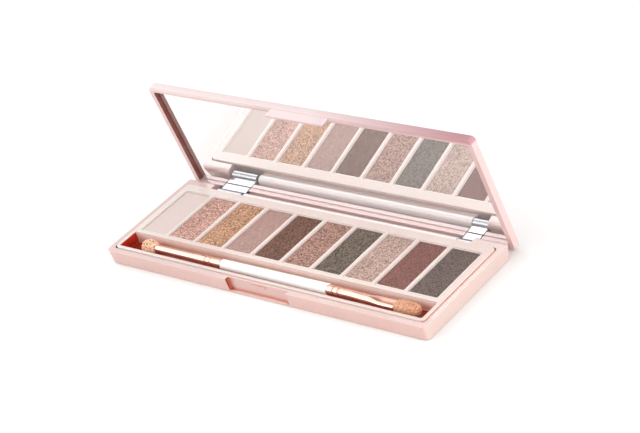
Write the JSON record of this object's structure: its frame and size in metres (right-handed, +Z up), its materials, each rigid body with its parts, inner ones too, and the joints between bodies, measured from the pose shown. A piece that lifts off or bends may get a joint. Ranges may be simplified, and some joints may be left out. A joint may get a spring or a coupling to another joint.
{
  "type": "eyeshadow palette",
  "caption": "Slim hinged eyeshadow palette: a row of powder pans, a mirror lid, a latch tongue, and a sponge applicator in a front trough.",
  "frame": {"origin": "centre of the case's flat underside", "axes": "+X along the row of pans from the pale shade to the dark one, +Y from the latch to the hinge, +Z up"},
  "size_m": [0.165, 0.0594, 0.0549],
  "materials": {
    "case_plastic": "satin blush pink moulding",
    "tray_plastic": "satin pale blush moulding",
    "lid_plastic": "satin blush pink moulding",
    "pan_metal": "drawn bare metal",
    "mirror_glass": "silvered",
    "tape": "translucent adhesive film",
    "hinge_chrome": "polished plating",
    "pin_steel": "ground wire",
    "handle_plastic": "gloss white",
    "rose_gold": "polished rose gold anodising",
    "sponge": "open-cell foam",
    "stem_plastic": "natural",
    "powder_01": "pressed powder, cream satin",
    "powder_02": "pressed powder, rose glitter",
    "powder_03": "pressed powder, gold glitter",
    "powder_04": "pressed powder, mauve matte",
    "powder_05": "pressed powder, dark brown satin",
    "powder_06": "pressed powder, rose-brown glitter",
    "powder_07": "pressed powder, olive grey glitter",
    "powder_08": "pressed powder, champagne glitter",
    "powder_09": "pressed powder, plum matte",
    "powder_10": "pressed powder, charcoal satin"
  },
  "bodies": {
    "case": {"base_case": "case_plastic", "inner_tray": "tray_plastic", "pan_01": "pan_metal", "pan_02": "pan_metal", "pan_03": "pan_metal", "pan_04": "pan_metal", "pan_05": "pan_metal", "pan_06": "pan_metal", "pan_07": "pan_metal", "pan_08": "pan_metal", "pan_09": "pan_metal", "pan_10": "pan_metal", "powder_01": "powder_01", "powder_02": "powder_02", "powder_03": "powder_03", "powder_04": "powder_04", "powder_05": "powder_05", "powder_06": "powder_06", "powder_07": "powder_07", "powder_08": "powder_08", "powder_09": "powder_09", "powder_10": "powder_10", "hinge_pin_left": "pin_steel", "hinge_pin_right": "pin_steel"},
    "lid": {"lid_shell": "lid_plastic", "mirror": "mirror_glass", "mirror_tape": "tape", "hinge_knuckle_left": "hinge_chrome", "hinge_knuckle_right": "hinge_chrome"},
    "applicator": {"applicator_handle": "handle_plastic", "applicator_ferrule_left": "rose_gold", "applicator_ferrule_right": "rose_gold", "applicator_ball": "sponge", "applicator_tip": "sponge", "applicator_stem_left": "stem_plastic", "applicator_stem_right": "stem_plastic"}
  },
  "joints": [
    {"name": "lid_hinge", "type": "hinge", "parent": "case", "child": "lid", "pos_m": [0, 0.0246, 0.0029], "axis": [-1, 0, 0], "range_deg": [-81.8, 12.2]},
    {"name": "applicator_lift", "type": "slide", "parent": "case", "child": "applicator", "axis": [0, 0, 1], "range_m": [0, 0.03]}
  ]
}
